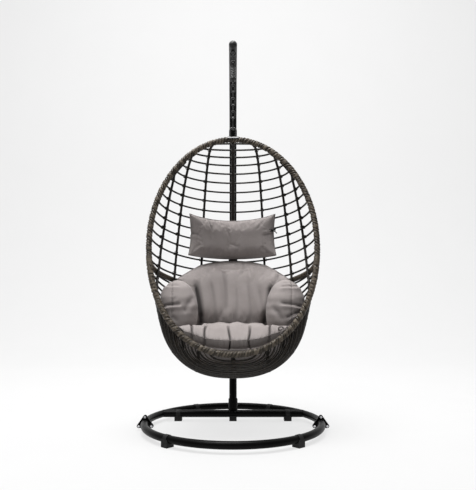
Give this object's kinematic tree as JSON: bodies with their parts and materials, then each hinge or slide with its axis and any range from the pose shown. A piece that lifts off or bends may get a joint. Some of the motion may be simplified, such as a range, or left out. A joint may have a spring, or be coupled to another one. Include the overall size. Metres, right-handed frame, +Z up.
{
  "type": "hanging egg chair",
  "caption": "Hanging egg chair: a woven egg basket with cushions, hung by chain and spring from a curved post on a ring base.",
  "frame": {"origin": "on the ground, at the centre of the footprint", "axes": "+Z up, +X to the sitter's left as seen from the front (viewer's right), -Y out of the basket's mouth, +Y towards the post"},
  "size_m": [0.986, 1.0892, 1.9837],
  "materials": {
    "stand_steel": "satin black powder coat",
    "hanger_steel": "black coated steel",
    "bolt_steel": "zinc plated",
    "cap_plastic": "moulded black",
    "foot_rubber": "moulded black",
    "rim_rattan": "grey-brown polyethylene rattan wrap over tube",
    "rung_rattan": "near-black polyethylene rattan",
    "cushion_fabric": "matt woven polyester, taupe grey",
    "webbing": "black webbing"
  },
  "bodies": {
    "stand": {"base_front_tube": "stand_steel", "base_rear_tube": "stand_steel", "base_cross_tube": "stand_steel", "flange_front_left": "stand_steel", "flange_front_right": "stand_steel", "flange_rear_left": "stand_steel", "flange_rear_right": "stand_steel", "flange_bolts_left": "bolt_steel", "flange_bolts_right": "bolt_steel", "flange_nuts_left": "bolt_steel", "flange_nuts_right": "bolt_steel", "foot_front_left": "foot_rubber", "foot_front_right": "foot_rubber", "foot_rear_left": "foot_rubber", "foot_rear_right": "foot_rubber", "foot_cross_left": "foot_rubber", "foot_cross_right": "foot_rubber", "foot_centre": "foot_rubber", "post_sleeve": "stand_steel", "lower_post": "stand_steel", "upper_post": "stand_steel", "post_connector": "stand_steel", "post_bolts": "bolt_steel", "post_nuts": "bolt_steel", "arm_end_cap": "cap_plastic", "hanging_eye": "hanger_steel"},
    "hanger_link": {"top_link": "hanger_steel"},
    "spring_top": {"spring_upper_seat": "hanger_steel", "spring": "hanger_steel"},
    "spring_foot": {"spring_lower_seat": "hanger_steel"},
    "chain": {"swivel_hook": "hanger_steel", "chain_link_1": "hanger_steel", "chain_link_2": "hanger_steel", "chain_link_3": "hanger_steel", "chain_link_4": "hanger_steel", "chain_link_5": "hanger_steel", "carabiner": "hanger_steel"},
    "basket": {"basket_loop": "hanger_steel", "rim": "rim_rattan", "rib_1": "rim_rattan", "rib_2": "rim_rattan", "rib_3": "rim_rattan", "rib_4": "rim_rattan", "rib_5": "rim_rattan", "rib_6": "rim_rattan", "rib_7": "rim_rattan", "rungs_crown": "rung_rattan", "rungs_back": "rung_rattan", "rungs_bowl": "rung_rattan", "strands_front": "rung_rattan", "waist_rail": "rim_rattan", "seat_cushion": "cushion_fabric", "back_cushion": "cushion_fabric", "arm_cushion_left": "cushion_fabric", "arm_cushion_right": "cushion_fabric", "head_pillow": "cushion_fabric", "pillow_strap": "webbing"}
  },
  "joints": [
    {"name": "swing_fore_aft", "type": "hinge", "parent": "stand", "child": "hanger_link", "pos_m": [0, -0.07558, 1.91774], "axis": [1, 0, 0], "range_deg": [-12, 6]},
    {"name": "swing_side", "type": "hinge", "parent": "hanger_link", "child": "spring_top", "pos_m": [0, -0.07558, 1.88554], "axis": [0, 1, 0], "range_deg": [-10, 10]},
    {"name": "bounce", "type": "slide", "parent": "spring_top", "child": "spring_foot", "axis": [0, 0, -1], "range_m": [-0.008, 0.03], "stiffness_N_per_m": 6000, "springref_m": -0.0327, "deforming": ["spring"]},
    {"name": "turn", "type": "hinge", "parent": "spring_foot", "child": "chain", "pos_m": [0, -0.07558, 1.76434], "axis": [0, 0, 1], "range_deg": [-60, 60]},
    {"name": "rock", "type": "hinge", "parent": "chain", "child": "basket", "pos_m": [0, -0.07558, 1.54844], "axis": [1, 0, 0], "range_deg": [-4, 4]}
  ]
}
